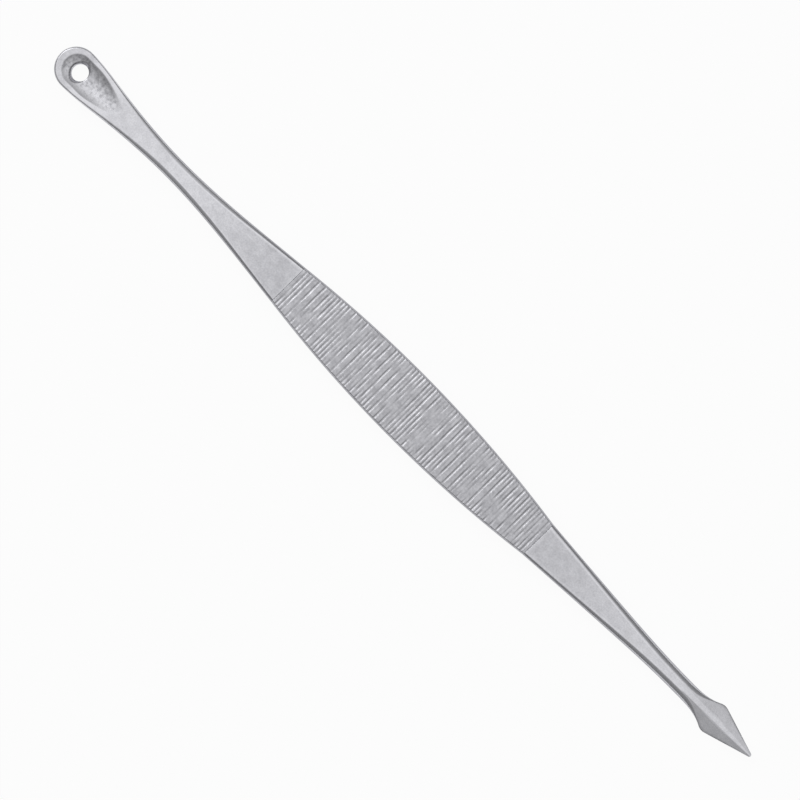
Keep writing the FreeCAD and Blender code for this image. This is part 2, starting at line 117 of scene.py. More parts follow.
# Spoon end, with places measured from its seam. Bevels and rounds are (width, drop), slopes are each side's.
SPOON_SHANK = 20.5  # length from the seam to the neck
SPOON_FLARE = 0.105  # slope at the seam
SPOON_NECK_WIDTH = 2.88
SPOON_NECK_THICKNESS = 2.0
SPOON_NECK_BEVEL = (0.55, 0.31)
SPOON_NECK_CROWN = 0.15
SPOON_TAPER = 10.7  # length of the widening beyond the neck
SPOON_TAPER_WIDTH = 4.26
SPOON_TAPER_SLOPE = 0.118  # at its end
SPOON_WIDTH = 5.7
SPOON_THICKNESS = 1.7
SPOON_RIM_ROUND = (0.3, 0.3)
SPOON_BACK_ROUND = (0.85, 0.85)
HEAD_PLACE = SPOON_LENGTH - SPOON_WIDTH / 2
EYELET_PLACE = SPOON_SEAM - EYELET_X

# Cup of the spoon, with places measured from the centre of its bowl
BOWL_SHIFT = 0.35  # of that centre from the eyelet's, towards the end
CUP_WIDTH = 4.14
CUP_DEPTH = 0.62
CUP_DEEP_LENGTH = 2.65  # where the floor turns up
CUP_EASE = 1.0  # half the length of that turn
CUP_LENGTH = 7.4  # where the floor reaches the rim
CUP_EDGE = 0.04  # softness of the edge between cup and rim
CUP_LEAD = 0.3  # how far before the cup the closer stations start
CUP_MARGIN = 1.0  # how far beyond the cup's length its edge can still be felt
EYELET_CHAMFER = 0.04
EYELET_LIP = 0.3  # width of the band round the eyelet with closer stations
EYELET_BACK_EDGE = 0.06

# Lance end, with places measured from its seam
LANCE_TAPER = 17.0  # length of the taper from the seam
LANCE_FLARE = 0.0725  # slope of each side at the seam
LANCE_TAPER_WIDTH = 3.12
LANCE_TAPER_SLOPE = 0.0625  # and at the end of the taper
LANCE_EASE = 9.1  # length from there to the neck
LANCE_NECK_WIDTH = 2.5
LANCE_NECK_THICKNESS = 2.3
LANCE_NECK_BEVEL = (0.62, 0.41)
LANCE_NECK_CROWN = 0.18
FACET_LEAD = 0.1  # width of the facets along the shank, where they lie level
FACET_SLOPE = 0.32  # drop over width
FACET_START = 0.7  # beyond the neck, where the facets begin to widen
FACET_RUN = 3.7  # length on which they widen up to the edges
BLADE_FLARE = 5.8  # length from the neck to the shoulders
BLADE_FLARE_TURN = math.radians(27)  # of each side, where the round of the shoulders begins
SHOULDER_WIDTH = 4.36
SHOULDER_THICKNESS = 1.45
SHOULDER_ROUND = 1.5  # radius in plan
RIDGE_WIDTH = 0.42
BLADE_BEVEL = 0.1  # width of the bevel beside each edge
BLADE_EDGE = 0.12  # thickness left at the edges
TIP_ROUND = 0.28  # radius in plan
TIP_WIDTH = 0.2  # of the small flat that ends the tip
TIP_THICKNESS = 0.26
TIP_RIDGE = 0.12
TIP_BEVEL = 0.02
LANCE_SHANK = LANCE_TAPER + LANCE_EASE
SHOULDER_PLACE = LANCE_SHANK + BLADE_FLARE
BLADE_LENGTH = LANCE_LENGTH - SHOULDER_PLACE
SHOULDER_FACET = (SHOULDER_WIDTH - RIDGE_WIDTH) / 2 - BLADE_BEVEL
NECK_BEVEL_SLOPE = LANCE_NECK_BEVEL[1] / LANCE_NECK_BEVEL[0]
BLADE_BEVEL_SLOPE = ((SHOULDER_THICKNESS - BLADE_EDGE) / 2 - FACET_SLOPE * SHOULDER_FACET) / BLADE_BEVEL

# How far the corners of a section bulge
STRAIGHT = 0.0
SOFT = 0.35
FULL_ROUND = 1.0
NO_FACET = (0.0, 0.0)  # width and drop

# Points along each flat and each corner of a piece's sections, and along each facet and side
GRIP_POINTS = (26, 3)
SPOON_POINTS = (64, 12)
LANCE_POINTS = (16, 12)
FACET_POINTS = 6
SIDE_POINTS = 8

# Stations along each stretch of the tool, and on each quarter turn round the eyelet and beyond it
SEAM_STEPS = 6
SPOON_SHANK_STEPS = 80
CUP_STEPS = 100
EYELET_LIP_STEPS = 12
EYELET_STEPS = 24
SPOON_END_STEPS = 48
LANCE_SHANK_STEPS = 70
FLARE_STEPS = 70
BLADE_STEPS = 50
TIP_STEPS = 24
RAY_HALVINGS = 40  # to find the spoon's outline from the eyelet

# How meshes are cleaned and shaded
MERGE_DISTANCE = 1e-7  # metres
LEAST_EDGE = 1e-8  # metres
SHARP_ANGLE = math.radians(50)

# Finish of each surface, and the painted highlights added to it
LAND_FINISH = 0.24
GROOVE_FINISH = 0.2
GRIP_MOTTLE = 0.25
GRIP_SPECKLES = ((0.9, 11.0), (0.3, 17.0))  # sizes, each with a layer of noise
SIDE_FINISH = 0.35
SHANK_FINISH = 0.42
LIT_EDGE_PAINTED_HIGHLIGHT = 0.55  # painted highlight on the flats of the shanks beside their edges at +Y, which face the light
FAR_EDGE_PAINTED_HIGHLIGHT = 0.2  # and a fainter painted highlight at -Y
EDGE_HIGHLIGHT_SHARE = 0.15  # how much of each half flat the painted edge highlight covers
SEAM_PAINTED_HIGHLIGHT = 0.25  # painted highlight on both shanks beside their seams
SEAM_HIGHLIGHT_LENGTH = 0.3
SPOON_NECK_FINISH = 0.85
SPOON_HEAD_FINISH = 0.66
RIM_PAINTED_HIGHLIGHT = 0.35  # painted highlight on the rim beside the cup
RIM_HIGHLIGHT_FADE = 2.0  # length on which it fades, up to the end of the cup
CUP_FINISH = 0.5
CUP_FINISH_DEPTH = 0.1  # at which the cup's finish is reached
CUP_PAINTED_HIGHLIGHT = 0.5  # painted highlight on the side of the cup at -Y, whose wall faces the light
CUP_HIGHLIGHT_WIDTH = 1.2
CUP_MOTTLE = 0.8
CUP_SPECKLE = 0.4
CUP_LAYERS = (3.0, 7.0)  # of noise, the second one half as large
LANCE_NECK_FINISH = 0.8
RIDGE_FINISH = 0.85
FACET_FINISH = 0.75

# Steel, dull and burnished, with sizes of its noise
DULL_TONE = (0.41, 0.41, 0.434, 1)
BURNISHED_TONE = (0.73, 0.73, 0.765, 1)
EDGE_TINT = (0.6, 0.6, 0.62, 1)  # of reflections at grazing angles
ROUGHNESS = (0.36, 0.22)  # dull and burnished
GRAIN_SIZE = 0.22
BLOTCH_SIZE = 1.1
BUMP_SIZE = 0.16
BUMP_HEIGHT = 0.006

# Camera, from the photograph's 800 by 800 frame
FRAME_PIXELS = 800
PIXEL = 0.127  # millimetres at the tool's middle height
TOOL_TURN = math.radians(45.55)
TOOL_MIDDLE_PIXEL = (405.9, 404.8)
LENS = 135.0
SENSOR = 36.0

# Light and table
SKY_TURN = math.radians(25)
SKY_TILT = math.radians(12)
HORIZON_SHARE = 0.5  # of the sky's light that is left at the horizon
BOX_TURN = math.radians(80)
BOX_TILT = math.radians(50)
BOX_SIZE = 0.5  # metres
BOX_POWER = 1.5
OVERHEAD_EDGE = (0.55, 0.42)  # cosine of the angle from the sky's brightest place, and the light left there
WALL_RISE = (0.3, 0.75)  # heights between which the walls brighten into the sky
TABLE_RADIUS = 3.0  # metres
TABLE_SIDES = 96
TABLE_TONE = (0.95, 0.95, 0.95, 1)
TABLE_GLOW = 0.93  # share of plain white in the table, as seen or mirrored


def hermite(share, start, end, start_rate=0.0, end_rate=0.0):
    """A cubic from start to end, with its rates of change over the whole span at both ends."""
    square = share * share
    cube = square * share
    value = (2 * cube - 3 * square + 1) * start + (3 * square - 2 * cube) * end
    return value + (cube - 2 * square + share) * start_rate + (cube - square) * end_rate


def between(share, start, end):
    """Two pairs of sizes, blended."""
    return tuple(hermite(share, first, last) for first, last in zip(start, end))


def clamped(value):
    return max(0.0, min(1.0, value))


def steps(start, end, count):
    """Evenly spaced values after start, up to and including end."""
    return [start + (end - start) * index / count for index in range(1, count + 1)]


def bar(width, thickness, top_corner, bottom_corner, bulge, crown, facet=NO_FACET):
    """The section of a bar with crowned sides, whose long edges are taken off by corners (width, drop).

    A facet (width, drop) may lie between each corner and the flat beside it.
    """
    half = width / 2 - crown - facet[0]
    return Section(
        width,
        thickness,
        2 * (half - top_corner[0]),
        thickness / 2 - facet[1] - top_corner[1],
        bottom_corner[1] + facet[1] - thickness / 2,
        2 * (half - bottom_corner[0]),
        bulge,
        crown,
        facet,
    )


def shrunk(section, amount):
    """The same section, smaller by an amount all round."""
    return section._replace(width=section.width - 2 * amount, thickness=section.thickness - 2 * amount)


def corner_points(start, end, bulge, count):
    """Points after start, up to end, along a bevel or a quarter of an ellipse that leaves start level."""
    points = []
    for turn in steps(0, math.pi / 2, count):
        straight = math.sin(turn) ** 2
        across = (1 - bulge) * straight + bulge * math.sin(turn)
        down = (1 - bulge) * straight + bulge * (1 - math.cos(turn))
        points.append((start[0] + (end[0] - start[0]) * across, start[1] + (end[1] - start[1]) * down))
    return points


def half_outline(section, start, points):
    """Spots from the middle of the top over the side to the middle of the bottom."""
    flat_points, corner_count = points
    top = section.thickness / 2
    half = section.width / 2
    side = half - section.crown
    side_middle = (section.side_top + section.side_bottom) / 2
    side_half = (section.side_top - section.side_bottom) / 2
    shares = [math.sin(math.pi / 2 * index / flat_points) ** 2 for index in range(flat_points + 1)]
    top_end = section.top_flat / 2
    bottom_end = section.bottom_flat / 2
    facet_width, facet_drop = section.facet
    top_facet_end = (top_end + facet_width, top - facet_drop)
    bottom_facet_end = (bottom_end + facet_width, facet_drop - top)
    top_corner = corner_points(top_facet_end, (side, section.side_top), section.bulge, corner_count)
    bottom_corner = corner_points(bottom_facet_end, (side, section.side_bottom), section.bulge, corner_count)
    facet_shares = steps(0, 1, FACET_POINTS)
    spots = [Spot(start + (top_end - start) * share, top, "flat", share) for share in shares]
    for share in facet_shares:
        spots.append(Spot(top_end + facet_width * share, top - facet_drop * share, "facet", share))
    spots += [Spot(reach, height, "corner", 1.0) for reach, height in top_corner]
    for share in steps(1, -1, SIDE_POINTS)[:-1]:
        height = side_middle + share * side_half
        spots.append(Spot(half - section.crown * share * share, height, "side", abs(share)))
    spots += [Spot(reach, height, "corner", 1.0) for reach, height in reversed(bottom_corner)]
    for share in reversed(facet_shares):
        spots.append(Spot(bottom_end + facet_width * share, facet_drop * share - top, "facet", share))
    spots += [Spot(start + (bottom_end - start) * share, -top, "flat", share) for share in reversed(shares)]
    return spots


def cross_station(x, section, start=0.0, walled=False):
    """A station square to the length of the tool."""
    return Station((x, 0.0), (0.0, 1.0), section, start, walled)


def tang_section(growth=0.0):
    """A flat tang with round edges, or its socket, which is larger by a growth all round."""
    thickness = TANG_THICKNESS + 2 * growth
    rounded = (thickness / 2, thickness / 2)
    return bar(TANG_WIDTH + 2 * growth, thickness, rounded, rounded, FULL_ROUND, 0.0)


def tang_stations(seam, direction):
    """The tang that goes into the grip, from its tip to the seam."""
    tip = seam + direction * TANG_LENGTH
    return [
        cross_station(tip, tang_section(-TANG_LEAD)),
        cross_station(tip - direction * TANG_LEAD, tang_section()),
        cross_station(seam, tang_section()),
    ]


def seam_stations(seam, direction, section):
    """The rounded edge of a piece at a seam, as stations away from it."""
    stations = []
    radius = SEAM_BREAK if direction > 0 else SEAM_KEEN
    for turn in [0.0] + steps(0, math.pi / 2, SEAM_STEPS)[:-1]:
        inset = radius * (1 - math.sin(turn))
        place = radius * (1 - math.cos(turn))
        stations.append(cross_station(seam + direction * place, shrunk(section, inset)))
    return stations


def mesh_rows(build, stations, outlines, side, shape_height, finish_and_highlight):
    """The vertices of one half of a piece, one row for each station."""
    layer = build.verts.layers.float["finish_and_highlight"]
    rows = []
    for station, outline in zip(stations, outlines):
        row = []
        for spot in outline:
            x = station.origin[0] + station.direction[0] * spot.reach
            y = side * (station.origin[1] + station.direction[1] * spot.reach)
            height = shape_height(x, y, spot.height)
            vertex = build.verts.new(Vector((x, y, MID_HEIGHT + height)) * MM)
            vertex[layer] = finish_and_highlight(x, y, spot)
            row.append(vertex)
        rows.append(row)
    return rows


def mesh_piece(name, stations, points, shape_height, finish_and_highlight):
    """A closed mesh over both halves of all stations, capped where the first and last ones stay open."""
    build = bmesh.new()
    build.verts.layers.float.new("finish_and_highlight")
    outlines = [half_outline(station.section, station.start, points) for station in stations]
    for side in (1, -1):
        rows = mesh_rows(build, stations, outlines, side, shape_height, finish_and_highlight)
        for index in range(len(rows) - 1):
            here, there = rows[index], rows[index + 1]
            for span in range(len(here) - 1):
                build.faces.new((here[span], here[span + 1], there[span + 1], there[span]))
            if stations[index].walled and stations[index + 1].walled:
                build.faces.new((here[-1], here[0], there[0], there[-1]))
    bmesh.ops.remove_doubles(build, verts=build.verts, dist=MERGE_DISTANCE)
    bmesh.ops.dissolve_degenerate(build, edges=build.edges, dist=LEAST_EDGE)
    bmesh.ops.holes_fill(build, edges=[edge for edge in build.edges if edge.is_boundary])
    bmesh.ops.recalc_face_normals(build, faces=build.faces)
    mesh = bpy.data.meshes.new(name)
    build.to_mesh(mesh)
    build.free()
    mesh.shade_smooth()
    mesh.set_sharp_from_angle(angle=SHARP_ANGLE)
    piece = bpy.data.objects.new(name, mesh)
    bpy.context.scene.collection.objects.link(piece)
    return piece


def grip_section(x):
    """The grip, whose sides are arcs of one radius in plan."""
    sag = (GRIP_WIDTH - LANCE_SEAM_WIDTH) / 2
    side_radius = ((LANCE_SEAM - GRIP_MIDDLE) ** 2 + sag**2) / (2 * sag)
    half = GRIP_WIDTH / 2 - side_radius + math.sqrt(side_radius**2 - (x - GRIP_MIDDLE) ** 2)
    return bar(2 * half, GRIP_THICKNESS, GRIP_BEVEL, GRIP_BEVEL, SHANK_BULGE, GRIP_CROWN)


def groove_share(away, width, floor):
    """How deep a groove is at a distance from its middle, from 0 beside it to 1 on its floor."""
    share = clamped((width / 2 - abs(away)) / ((width - floor) / 2))
    return (share + hermite(share, 0.0, 1.0)) / 2


def speckle(x, y, size, layer=0.0):
    """A smooth random value, about 0.5 either way, which changes over a given size."""
    return noise.noise(Vector((x / size, y / size, layer)))


def worn_depth(groove, x, y):
    """How deep the nearest groove of a kind is at a place, where wear has left it shallower."""
    place = (x - FIRST_GROOVE) / RIB_PITCH
    number = math.floor(place - groove.offset + 0.5) + groove.offset
    if not 0 <= number <= GROOVE_COUNT - 1:
        return 0.0
    own_place = number * GROOVE_STRIDE
    away = (place - number) * RIB_PITCH + WAVER * speckle(own_place, y, WAVER_LENGTH)
    patches = groove.variation * speckle(x, y, PATCH_SIZE, groove.layer)
    streaks = STREAK_VARIATION * speckle(own_place, y, STREAK_LENGTH, STREAK_LAYER)
    left = clamped(groove.share + patches + streaks)
    return groove.depth * left * groove_share(away, groove.width, groove.floor)


def groove_depth(x, y):
    """How far the ribbed face lies below its highest level."""
    return max(worn_depth(MAIN_GROOVE, x, y), worn_depth(FINE_GROOVE, x, y))


def rib_height(x, y, height):
    """Lowers both faces, and what the grooves cut of the bevels, by the depth of the grooves."""
    limit = GRIP_THICKNESS / 2 - groove_depth(x, y)
    return max(-limit, min(limit, height))


def grip_finish(x, y, spot):
    if spot.zone == "side":
        return SIDE_FINISH
    sunk = groove_depth(x, y) / MAIN_GROOVE.depth
    finish_and_highlight = LAND_FINISH + (GROOVE_FINISH - LAND_FINISH) * sunk
    mottle = sum(speckle(x, y, size, layer) for size, layer in GRIP_SPECKLES)
    return clamped(finish_and_highlight + GRIP_MOTTLE * mottle)


def grip_stations():
    places = [SPOON_SEAM]
    for index in range(GROOVE_COUNT):
        start = FIRST_GROOVE + (index - 0.5) * RIB_PITCH
        places += steps(start, start + RIB_PITCH, RIB_STEPS)
    stations = [
        cross_station(SPOON_SEAM + TANG_LENGTH + SOCKET_RELIEF, tang_section(BRAZE_GAP)),
        cross_station(SPOON_SEAM, tang_section(BRAZE_GAP)),
    ]
    stations += seam_stations(SPOON_SEAM, 1, grip_section(SPOON_SEAM))
    inside = [x for x in places if SPOON_SEAM + SEAM_BREAK < x < LANCE_SEAM - SEAM_BREAK]
    stations += [cross_station(x, grip_section(x)) for x in inside]
    stations += reversed(seam_stations(LANCE_SEAM, -1, grip_section(LANCE_SEAM)))
    stations += [
        cross_station(LANCE_SEAM, tang_section(BRAZE_GAP)),
        cross_station(LANCE_SEAM - TANG_LENGTH - SOCKET_RELIEF, tang_section(BRAZE_GAP)),
    ]
    return stations


def spoon_width(place):
    """The width of the spoon end: shank, taper, head and the round end in turn."""
    rate = 2 * SPOON_TAPER_SLOPE
    taper_place = SPOON_SHANK + SPOON_TAPER
    head_span = HEAD_PLACE - taper_place
    if place < SPOON_SHANK:
        share = place / SPOON_SHANK
        return hermite(share, SPOON_SEAM_WIDTH, SPOON_NECK_WIDTH, -2 * SPOON_FLARE * SPOON_SHANK)
    if place < taper_place:
        share = (place - SPOON_SHANK) / SPOON_TAPER
        return hermite(share, SPOON_NECK_WIDTH, SPOON_TAPER_WIDTH, 0, rate * SPOON_TAPER)
    if place < HEAD_PLACE:
        share = (place - taper_place) / head_span
        return hermite(share, SPOON_TAPER_WIDTH, SPOON_WIDTH, rate * head_span, 0)
    beyond = min(place - HEAD_PLACE, SPOON_WIDTH / 2)
    return 2 * math.sqrt((SPOON_WIDTH / 2) ** 2 - beyond**2)


def spoon_section(place, width):
    if place < SPOON_SHANK:
        share = place / SPOON_SHANK
        thickness = hermite(share, GRIP_THICKNESS, SPOON_NECK_THICKNESS)
        bevel = between(share, SHANK_BEVEL, SPOON_NECK_BEVEL)
        bulge = hermite(share, SHANK_BULGE, SOFT)
        return bar(width, thickness, bevel, bevel, bulge, hermite(share, SHANK_CROWN, SPOON_NECK_CROWN))
    share = clamped((place - SPOON_SHANK) / (HEAD_PLACE - SPOON_SHANK))
    thickness = hermite(share, SPOON_NECK_THICKNESS, SPOON_THICKNESS)
    rim = between(share, SPOON_NECK_BEVEL, SPOON_RIM_ROUND)
    back = between(share, SPOON_NECK_BEVEL, SPOON_BACK_ROUND)
    bulge = hermite(share, SOFT, FULL_ROUND)
    return bar(width, thickness, rim, back, bulge, hermite(share, SPOON_NECK_CROWN, 0.0))


def ray_length(turn):
    """How far the spoon's outline is from the centre of the eyelet, at an angle from straight across."""
    near, far = EYELET_RADIUS, SPOON_WIDTH
    for _ in range(RAY_HALVINGS):
        middle = (near + far) / 2
        place = EYELET_PLACE + middle * math.sin(turn)
        if place < SPOON_LENGTH and middle * math.cos(turn) < spoon_width(place) / 2:
            near = middle
        else:
            far = middle
    return near


def spoon_stations():
    """Stations square to the tool up to the middle of the eyelet, and then rays from that middle."""
    cup_place = EYELET_PLACE + BOWL_SHIFT - CUP_LENGTH - CUP_LEAD
    eyelet_start = EYELET_PLACE - EYELET_RADIUS
    eyelet_edge = eyelet_start - EYELET_LIP
    first = spoon_section(0, spoon_width(0))
    stations = tang_stations(SPOON_SEAM, 1) + seam_stations(SPOON_SEAM, -1, first)
    places = [SEAM_BREAK] + steps(SEAM_BREAK, cup_place, SPOON_SHANK_STEPS)
    places += steps(cup_place, eyelet_edge, CUP_STEPS)
    places += steps(eyelet_edge, eyelet_start, EYELET_LIP_STEPS)[:-1]
    for place in places:
        stations.append(cross_station(SPOON_SEAM - place, spoon_section(place, spoon_width(place))))
    for turn in [0.0] + steps(0, math.pi / 2, EYELET_STEPS):
        place = EYELET_PLACE - EYELET_RADIUS * math.cos(turn)
        section = spoon_section(place, spoon_width(place))
        stations.append(cross_station(SPOON_SEAM - place, section, EYELET_RADIUS * math.sin(turn), True))
    for turn in steps(0, math.pi / 2, SPOON_END_STEPS):
        section = spoon_section(HEAD_PLACE, 2 * ray_length(turn))
        direction = (-math.sin(turn), math.cos(turn))
        stations.append(Station((EYELET_X, 0.0), direction, section, EYELET_RADIUS, True))
    return stations


def cup_depth(x, y):
    """How far the cup lies below the rim: a round bowl about the eyelet, then a scoop that runs out."""
    along = x - EYELET_X + BOWL_SHIFT
    beyond = along - CUP_DEEP_LENGTH
    eased = max(0.0, min(2 * CUP_EASE, beyond + CUP_EASE))
    rise = eased * eased / (4 * CUP_EASE) + max(0.0, beyond - CUP_EASE)
    room = 1 - rise / (CUP_LENGTH - CUP_DEEP_LENGTH)
    across = math.hypot(min(along, 0.0), y) / (CUP_WIDTH / 2)
    return CUP_DEPTH * (room - across**2)


def lower(first, second, softness):
    """The lower of two heights, with a soft edge where they meet."""
    return (first + second - math.hypot(first - second, softness)) / 2


def rounding(away, radius):
    """How far a rounded edge falls, at a distance from it."""
    if away >= radius:
        return 0.0
    return radius - math.sqrt(max(0.0, radius**2 - (radius - max(0.0, away)) ** 2))


def near_cup(x):
    return x < EYELET_X + CUP_LENGTH + CUP_MARGIN


def spoon_height(x, y, height):
    """Scoops the cup out of the upper face, countersinks the eyelet and rounds its edge on the back."""
    if not near_cup(x):
        return height
    from_eyelet = math.hypot(x - EYELET_X, y) - EYELET_RADIUS
    if height < 0:
        return height + rounding(from_eyelet, EYELET_BACK_EDGE)
    rim = SPOON_THICKNESS / 2
    height = lower(height, rim - cup_depth(x, y), CUP_EDGE)
    return lower(height, rim - CUP_DEPTH - EYELET_CHAMFER + from_eyelet, CUP_EDGE)


def painted_edge_highlight(place, y, spot):
    """Painted highlights: how much brighter the flats of a shank are painted beside their edges, most at +Y,
    which faces the light, and beside the seam.
    """
    shine = LIT_EDGE_PAINTED_HIGHLIGHT if y > 0 else FAR_EDGE_PAINTED_HIGHLIGHT
    beside_edge = clamped((spot.share - (1 - EDGE_HIGHLIGHT_SHARE)) / EDGE_HIGHLIGHT_SHARE) if spot.zone == "flat" else 0.0
    return max(shine * beside_edge, SEAM_PAINTED_HIGHLIGHT * clamped(1 - place / SEAM_HIGHLIGHT_LENGTH))


def spoon_finish_and_highlight(x, y, spot):
    place = SPOON_SEAM - x
    if spot.zone == "side":
        return SIDE_FINISH
    if place < SPOON_SHANK:
        finish_and_highlight = hermite(clamped(place / SPOON_SHANK), SHANK_FINISH, SPOON_NECK_FINISH)
        # painted highlights beside the shank's edges and its seam
        return finish_and_highlight + painted_edge_highlight(place, y, spot)
    share = clamped((place - SPOON_SHANK) / (HEAD_PLACE - SPOON_SHANK))
    finish_and_highlight = hermite(share, SPOON_NECK_FINISH, SPOON_HEAD_FINISH)
    if spot.height < 0 or not near_cup(x):
        return finish_and_highlight
    # a painted highlight on the rim beside the cup
    beside_cup = clamped((x - EYELET_X) / EYELET_RADIUS)
    beside_cup *= clamped((EYELET_X + CUP_LENGTH - x) / RIM_HIGHLIGHT_FADE)
    finish_and_highlight += RIM_PAINTED_HIGHLIGHT * beside_cup * clamped(abs(y) / (CUP_WIDTH / 2))
    inside = clamped(cup_depth(x, y) / CUP_FINISH_DEPTH)
    mottle = speckle(x, y, CUP_SPECKLE, CUP_LAYERS[0]) + speckle(x, y, CUP_SPECKLE / 2, CUP_LAYERS[1]) / 2
    # the cup is mottled, with a painted highlight on its side at -Y
    mottle_and_painted_highlight = CUP_FINISH + CUP_MOTTLE * mottle + CUP_PAINTED_HIGHLIGHT * clamped(-y / CUP_HIGHLIGHT_WIDTH)
    return clamped(finish_and_highlight + (mottle_and_painted_highlight - finish_and_highlight) * inside)


def lance_width(place):
    taper_rate = -2 * LANCE_TAPER_SLOPE
    if place < LANCE_TAPER:
        seam_rate = -2 * LANCE_FLARE * LANCE_TAPER
        share = place / LANCE_TAPER
        return hermite(share, LANCE_SEAM_WIDTH, LANCE_TAPER_WIDTH, seam_rate, taper_rate * LANCE_TAPER)
    if place < LANCE_SHANK:
        share = (place - LANCE_TAPER) / LANCE_EASE
        return hermite(share, LANCE_TAPER_WIDTH, LANCE_NECK_WIDTH, taper_rate * LANCE_EASE)
    if place < SHOULDER_PLACE:
        return flare_width(place - LANCE_SHANK)
    return blade_width(place - SHOULDER_PLACE)


def flare_width(place):
    """The width from the neck to the shoulders: a hollow curve, then the round of the shoulders."""
    flare_length = BLADE_FLARE - SHOULDER_ROUND * math.sin(BLADE_FLARE_TURN)
    if place < flare_length:
        end_width = SHOULDER_WIDTH - 2 * SHOULDER_ROUND * (1 - math.cos(BLADE_FLARE_TURN))
        end_rate = 2 * math.tan(BLADE_FLARE_TURN) * flare_length
        return hermite(place / flare_length, LANCE_NECK_WIDTH, end_width, 0, end_rate)
    to_shoulder = BLADE_FLARE - place
    return SHOULDER_WIDTH - 2 * (SHOULDER_ROUND - math.sqrt(SHOULDER_ROUND**2 - to_shoulder**2))


def blade_width(reach):
    """The width beyond the shoulders: two arcs joined by tangents, up to a small flat at the tip."""
    shoulder_y = SHOULDER_WIDTH / 2 - SHOULDER_ROUND
    tip_place = BLADE_LENGTH - TIP_ROUND
    turn = math.atan2(shoulder_y, tip_place)
    turn += math.asin((SHOULDER_ROUND - TIP_ROUND) / math.hypot(shoulder_y, tip_place))
    straight_start = SHOULDER_ROUND * math.sin(turn)
    if reach < straight_start:
        return 2 * (shoulder_y + math.sqrt(SHOULDER_ROUND**2 - reach**2))
    if reach < tip_place + TIP_ROUND * math.sin(turn):
        start_y = shoulder_y + SHOULDER_ROUND * math.cos(turn)
        return 2 * (start_y - math.tan(turn) * (reach - straight_start))
    return max(TIP_WIDTH, 2 * math.sqrt(max(0.0, TIP_ROUND**2 - (reach - tip_place) ** 2)))


def root_facet(place, room):
    """The facet (width, drop) at a place beyond the neck, with so much room between ridge and edge."""
    tilt = hermite(clamped(place / FACET_START), 0.0, FACET_SLOPE)
    width = hermite(clamped((place - FACET_START) / FACET_RUN), FACET_LEAD, room)
    return width, tilt * width


def lance_shank_section(share, width):
    """The shank, from 0 at its seam to 1 at the neck."""
    thickness = hermite(share, GRIP_THICKNESS, LANCE_NECK_THICKNESS)
    bevel = between(share, SHANK_BEVEL, LANCE_NECK_BEVEL)
    bulge = hermite(share, SHANK_BULGE, SOFT)
    crown = hermite(share, SHANK_CROWN, LANCE_NECK_CROWN)
    return bar(width, thickness, bevel, bevel, bulge, crown, (FACET_LEAD, 0.0))


def blade_root_section(share, width):
    """The root of the blade, from 0 at the neck to 1 at the shoulders."""
    fall = BLADE_FLARE * (TIP_THICKNESS - SHOULDER_THICKNESS) / BLADE_LENGTH
    neck_ridge = LANCE_NECK_WIDTH - 2 * (LANCE_NECK_BEVEL[0] + LANCE_NECK_CROWN + FACET_LEAD)
    thickness = hermite(share, LANCE_NECK_THICKNESS, SHOULDER_THICKNESS, 0, fall)
    ridge = hermite(share, neck_ridge, RIDGE_WIDTH)
    bulge = hermite(share, SOFT, STRAIGHT)
    crown = hermite(share, LANCE_NECK_CROWN, 0.0)
    facet = root_facet(share * BLADE_FLARE, width / 2 - crown - ridge / 2 - BLADE_BEVEL)
    bevel_width = width / 2 - crown - ridge / 2 - facet[0]
    bevel = (bevel_width, bevel_width * hermite(share, NECK_BEVEL_SLOPE, BLADE_BEVEL_SLOPE))
    return bar(width, thickness, bevel, bevel, bulge, crown, facet)


def blade_section(share, width):
    """The blade, from 0 at the shoulders to 1 at the tip, with a ridge between two facets on each face."""
    thickness = SHOULDER_THICKNESS + share * (TIP_THICKNESS - SHOULDER_THICKNESS)
    ridge = RIDGE_WIDTH + share**2 * (TIP_RIDGE - RIDGE_WIDTH)
    bevel_room = BLADE_BEVEL + share * (TIP_BEVEL - BLADE_BEVEL)
    facet_width = max(0.0, (width - ridge) / 2 - bevel_room)
    facet_drop = FACET_SLOPE * facet_width
    bevel = ((width - ridge) / 2 - facet_width, (thickness - BLADE_EDGE) / 2 - facet_drop)
    return bar(width, thickness, bevel, bevel, STRAIGHT, 0.0, (facet_width, facet_drop))


def lance_section(place):
    width = lance_width(place)
    if place < LANCE_SHANK:
        return lance_shank_section(place / LANCE_SHANK, width)
    if place < SHOULDER_PLACE:
        return blade_root_section((place - LANCE_SHANK) / BLADE_FLARE, width)
    return blade_section((place - SHOULDER_PLACE) / BLADE_LENGTH, width)


def lance_stations():
    tip_start = LANCE_LENGTH - 2 * TIP_ROUND
    stations = tang_stations(LANCE_SEAM, -1) + seam_stations(LANCE_SEAM, 1, lance_section(0))
    places = [SEAM_BREAK] + steps(SEAM_BREAK, LANCE_SHANK, LANCE_SHANK_STEPS)
    places += steps(LANCE_SHANK, SHOULDER_PLACE, FLARE_STEPS)
    places += steps(SHOULDER_PLACE, tip_start, BLADE_STEPS)
    places += steps(tip_start, LANCE_LENGTH, TIP_STEPS)
    for place in places:
        stations.append(cross_station(LANCE_SEAM + place, lance_section(place)))
    return stations


def lance_height(x, y, height):
    """The lance has no more shape than its sections give it."""
    return height


def lance_finish_and_highlight(x, y, spot):
    place = x - LANCE_SEAM
    if spot.zone == "side":
        return SIDE_FINISH
    if place < LANCE_SHANK:
        finish_and_highlight = hermite(clamped(place / LANCE_SHANK), SHANK_FINISH, LANCE_NECK_FINISH)
        # painted highlights beside the shank's edges and its seam
        return finish_and_highlight + painted_edge_highlight(place, y, spot)
    share = clamped((place - LANCE_SHANK) / BLADE_FLARE)
    last = RIDGE_FINISH if spot.zone == "flat" else FACET_FINISH
    return hermite(share, LANCE_NECK_FINISH, last)


